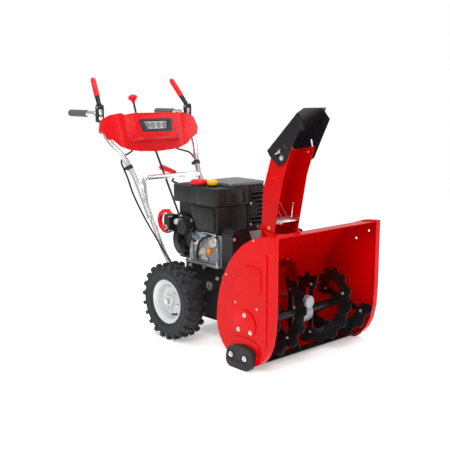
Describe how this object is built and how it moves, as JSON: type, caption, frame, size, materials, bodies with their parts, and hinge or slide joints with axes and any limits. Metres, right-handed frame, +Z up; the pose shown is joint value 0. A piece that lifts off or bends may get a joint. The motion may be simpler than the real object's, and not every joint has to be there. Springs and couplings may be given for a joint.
{
  "type": "two stage snowblower",
  "caption": "Walk-behind two-stage snow thrower: augers and impeller in a steel intake, swivelling chute, engine, wheels and tube handles.",
  "frame": {"origin": "on the ground under the middle of the machine's overall box", "axes": "+Z up; -Y is forward, where the intake opens; +Y is towards the operator's grips; -X is the operator's right-hand side"},
  "size_m": [0.6686, 1.451, 1.1113],
  "materials": {
    "red_paint": "gloss",
    "black_paint": "satin",
    "black_plastic": "matte",
    "red_plastic": "gloss",
    "yellow_plastic": "satin",
    "orange_plastic": "satin",
    "bright_tube": "bright",
    "zinc_steel": "satin",
    "cast_aluminium": "cast",
    "tyre_rubber": "matte",
    "black_rubber": "matte",
    "grey_foam": "matte",
    "rim_paint": "gloss",
    "lamp_lens": "clear",
    "cable_jacket": "satin"
  },
  "bodies": {
    "chassis": {"auger_housing": "red_paint", "side_plate_right": "red_paint", "side_plate_left": "red_paint", "scraper_bar": "black_paint", "skid_shoe_right": "black_plastic", "skid_shoe_left": "black_plastic", "impeller_housing": "red_paint", "frame_housing": "black_paint", "belt_cover": "black_plastic", "engine_block": "cast_aluminium", "cylinder_head": "cast_aluminium", "recoil_housing": "black_plastic", "fuel_tank": "black_plastic", "muffler_guard": "black_plastic", "carburettor_cover": "black_plastic", "starter_motor": "black_plastic", "starter_switch_box": "black_plastic", "lower_handle": "bright_tube", "upper_handle_right": "bright_tube", "upper_handle_left": "bright_tube", "control_console": "red_plastic", "headlight": "lamp_lens", "grip_right": "grey_foam", "grip_left": "grey_foam", "auger_gearbox": "cast_aluminium", "auger_belt": "black_rubber", "drive_belt": "black_rubber", "clutch_cable_right": "cable_jacket", "clutch_cable_left": "cable_jacket"},
    "wheels": {"tyre_right": "tyre_rubber", "tyre_left": "tyre_rubber", "rim_right": "rim_paint", "rim_left": "rim_paint", "axle": "zinc_steel"},
    "hex_drive": {"hex_shaft": "zinc_steel"},
    "friction_wheel": {"friction_wheel": "black_rubber"},
    "friction_plate": {"friction_plate": "cast_aluminium"},
    "augers": {"auger_shaft": "zinc_steel", "auger_right": "black_paint", "auger_left": "black_paint", "worm_wheel": "zinc_steel"},
    "impeller": {"impeller": "red_paint", "impeller_shaft": "zinc_steel", "impeller_pulley": "zinc_steel"},
    "engine_crank": {"engine_pulley": "zinc_steel"},
    "chute": {"chute": "red_paint"},
    "deflector": {"chute_deflector": "black_plastic"},
    "crank": {"chute_crank": "black_paint"},
    "crank_grip": {"crank_grip": "red_plastic"},
    "shift_lever": {"shift_lever": "black_paint", "shift_knob": "red_plastic"},
    "shift_rod": {"shift_rod": "black_paint"},
    "clutch_lever_right": {"clutch_lever_right": "black_plastic"},
    "clutch_lever_left": {"clutch_lever_left": "black_plastic"},
    "recoil_handle": {"recoil_handle": "red_plastic"},
    "start_button": {"start_button": "red_plastic"},
    "fuel_cap": {"fuel_cap": "red_plastic"},
    "oil_cap": {"oil_cap": "yellow_plastic"},
    "dipstick": {"dipstick": "orange_plastic"}
  },
  "joints": [
    {"name": "wheel_turn", "type": "hinge", "parent": "chassis", "child": "wheels", "pos_m": [0, -0.0925, 0.165], "axis": [1, 0, 0], "continuous": true},
    {"name": "hex_turn", "type": "hinge", "parent": "chassis", "child": "hex_drive", "pos_m": [0, -0.187, 0.225], "axis": [1, 0, 0], "continuous": true},
    {"name": "friction_wheel_shift", "type": "slide", "parent": "hex_drive", "child": "friction_wheel", "axis": [1, 0, 0], "range_m": [-0.032, 0.032]},
    {"name": "friction_plate_turn", "type": "hinge", "parent": "chassis", "child": "friction_plate", "pos_m": [0, -0.2855, 0.225], "axis": [0, 1, 0], "continuous": true},
    {"name": "auger_turn", "type": "hinge", "parent": "chassis", "child": "augers", "pos_m": [0, -0.5775, 0.17], "axis": [1, 0, 0], "continuous": true},
    {"name": "impeller_turn", "type": "hinge", "parent": "chassis", "child": "impeller", "pos_m": [0, -0.5775, 0.215], "axis": [0, 1, 0], "continuous": true},
    {"name": "engine_turn", "type": "hinge", "parent": "chassis", "child": "engine_crank", "pos_m": [-0.09, -0.3255, 0.405], "axis": [0, 1, 0], "continuous": true},
    {"name": "chute_turn", "type": "hinge", "parent": "chassis", "child": "chute", "pos_m": [0, -0.4555, 0.484], "axis": [0, -0.1736, 0.9848], "range_deg": [-95, 95]},
    {"name": "deflector_tilt", "type": "hinge", "parent": "chute", "child": "deflector", "pos_m": [0, -0.5355, 0.79], "axis": [1, 0, 0], "range_deg": [-32, 20]},
    {"name": "crank_turn", "type": "hinge", "parent": "chassis", "child": "crank", "pos_m": [0.112, -0.4755, 0.459], "axis": [0.0322, 0.9879, 0.1514], "range_deg": [-760, 760]},
    {"name": "crank_grip_spin", "type": "hinge", "parent": "crank", "child": "crank_grip", "pos_m": [0.195, 0.4695, 0.633], "axis": [0.0322, 0.9879, 0.1514], "continuous": true},
    {"name": "shift_lever_tilt", "type": "hinge", "parent": "chassis", "child": "shift_lever", "pos_m": [-0.03, 0.4405, 0.7665], "axis": [1, 0, 0], "range_deg": [-9, 9]},
    {"name": "shift_rod_slide", "type": "slide", "parent": "chassis", "child": "shift_rod", "axis": [0, 0.516, 0.8566], "range_m": [-0.008, 0.008]},
    {"name": "clutch_lever_right_squeeze", "type": "hinge", "parent": "chassis", "child": "clutch_lever_right", "pos_m": [-0.262, 0.4625, 0.972], "axis": [-1, 0, 0], "range_deg": [0, 52], "stiffness_Nm_per_rad": 0.6, "springref_deg": -34.38},
    {"name": "clutch_lever_left_squeeze", "type": "hinge", "parent": "chassis", "child": "clutch_lever_left", "pos_m": [0.262, 0.4625, 0.972], "axis": [-1, 0, 0], "range_deg": [0, 52], "stiffness_Nm_per_rad": 0.6, "springref_deg": -34.38},
    {"name": "recoil_pull", "type": "slide", "parent": "chassis", "child": "recoil_handle", "axis": [0, 1, 0], "range_m": [0, 0.6], "stiffness_N_per_m": 15, "springref_m": -0.3},
    {"name": "start_button_press", "type": "slide", "parent": "chassis", "child": "start_button", "axis": [1, 0, 0], "range_m": [0, 0.0035], "stiffness_N_per_m": 600, "springref_m": -0.002},
    {"name": "fuel_cap_turn", "type": "hinge", "parent": "chassis", "child": "fuel_cap", "pos_m": [-0.145, -0.1135, 0.65], "axis": [0, 0, 1], "range_deg": [0, 90]},
    {"name": "oil_cap_turn", "type": "hinge", "parent": "chassis", "child": "oil_cap", "pos_m": [-0.127, -0.1795, 0.65], "axis": [0, 0, 1], "range_deg": [0, 360]},
    {"name": "dipstick_turn", "type": "hinge", "parent": "chassis", "child": "dipstick", "pos_m": [-0.165, -0.2185, 0.384], "axis": [-1, 0, 0], "range_deg": [0, 360]}
  ],
  "couplings": [
    {"joint": "impeller_turn", "follows": "auger_turn", "ratio": 10},
    {"joint": "hex_turn", "follows": "wheel_turn", "ratio": 3},
    {"joint": "crank_turn", "follows": "chute_turn", "ratio": 8},
    {"joint": "friction_wheel_shift", "follows": "shift_lever_tilt", "m_per_rad": 0.2},
    {"joint": "shift_rod_slide", "follows": "shift_lever_tilt", "m_per_rad": -0.045}
  ]
}
